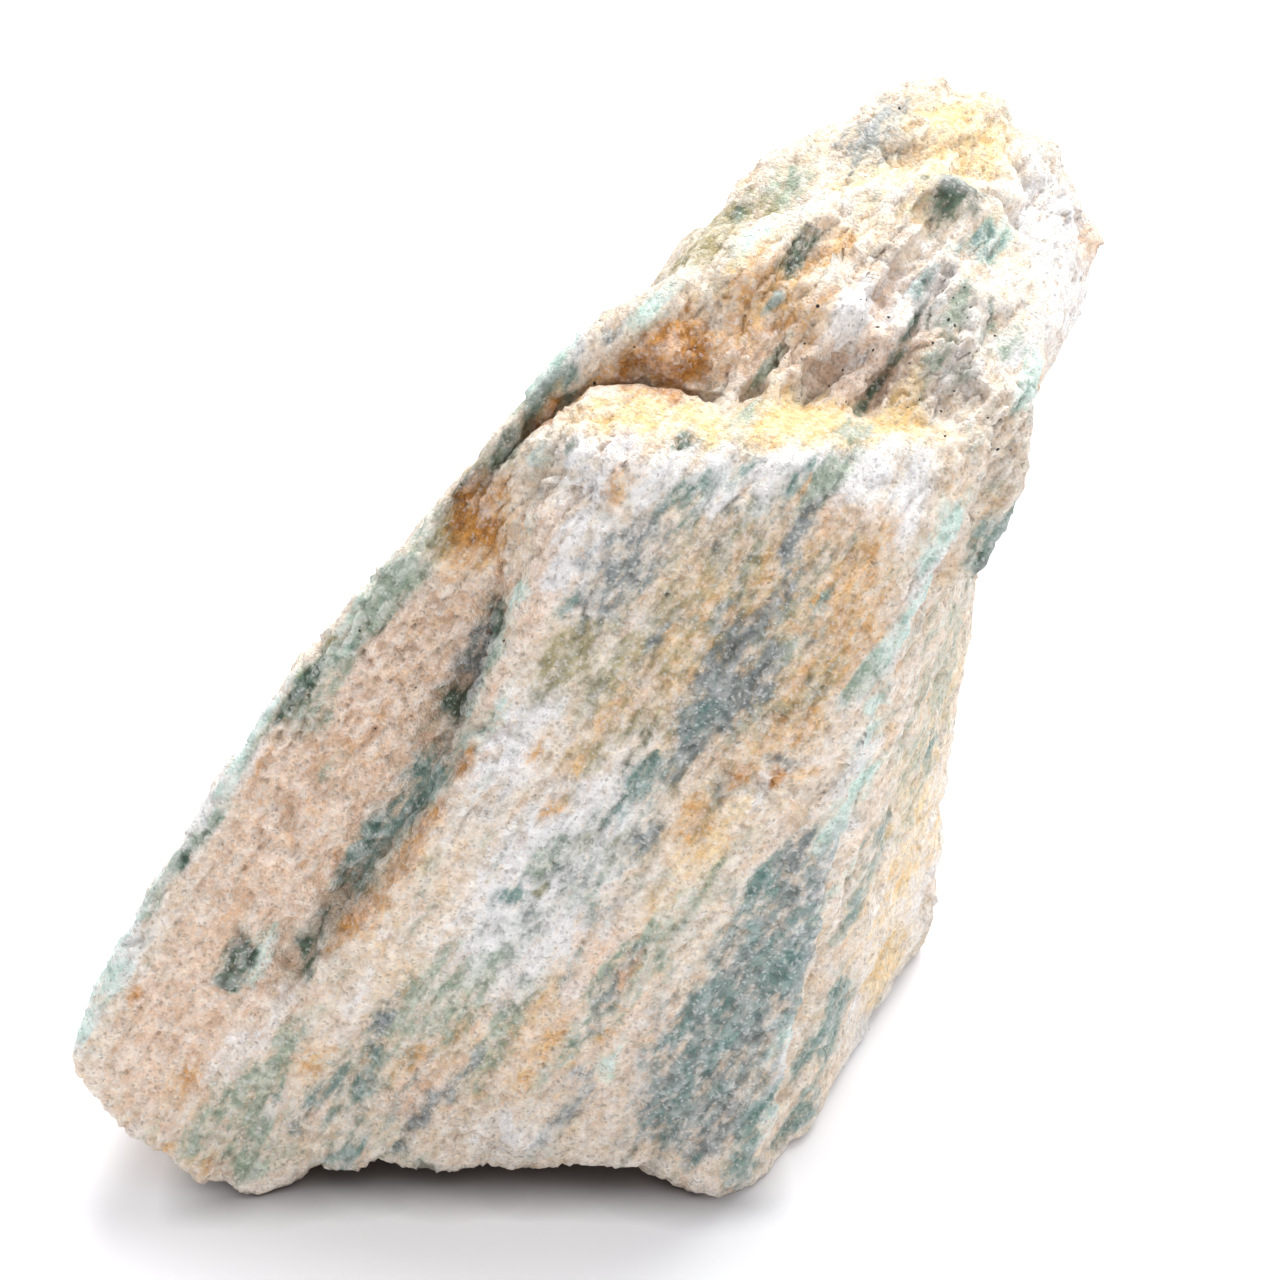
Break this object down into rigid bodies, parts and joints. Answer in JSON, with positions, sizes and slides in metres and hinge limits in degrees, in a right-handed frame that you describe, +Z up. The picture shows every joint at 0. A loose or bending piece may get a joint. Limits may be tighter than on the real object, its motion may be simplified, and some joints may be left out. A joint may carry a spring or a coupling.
{
  "type": "raw serpentine",
  "caption": "Rough, layered serpentine stone with a slab left proud on its front, a flat ledge and a crumbly crown, resting on a flat spot.",
  "frame": {"origin": "middle of the stone's box on the surface that it stands on", "axes": "+Z up; the front, with the slab and the ledge, faces -Y; the leaning left edge runs up from -X to the crown"},
  "size_m": [0.0746, 0.0526, 0.0666],
  "materials": {
    "serpentine": "dull, sugary broken stone in cream, tan and white, streaked with sage and dark green along its layers and stained ochre"
  },
  "bodies": {
    "root": {"serpentine_stone": "serpentine"}
  },
  "joints": []
}
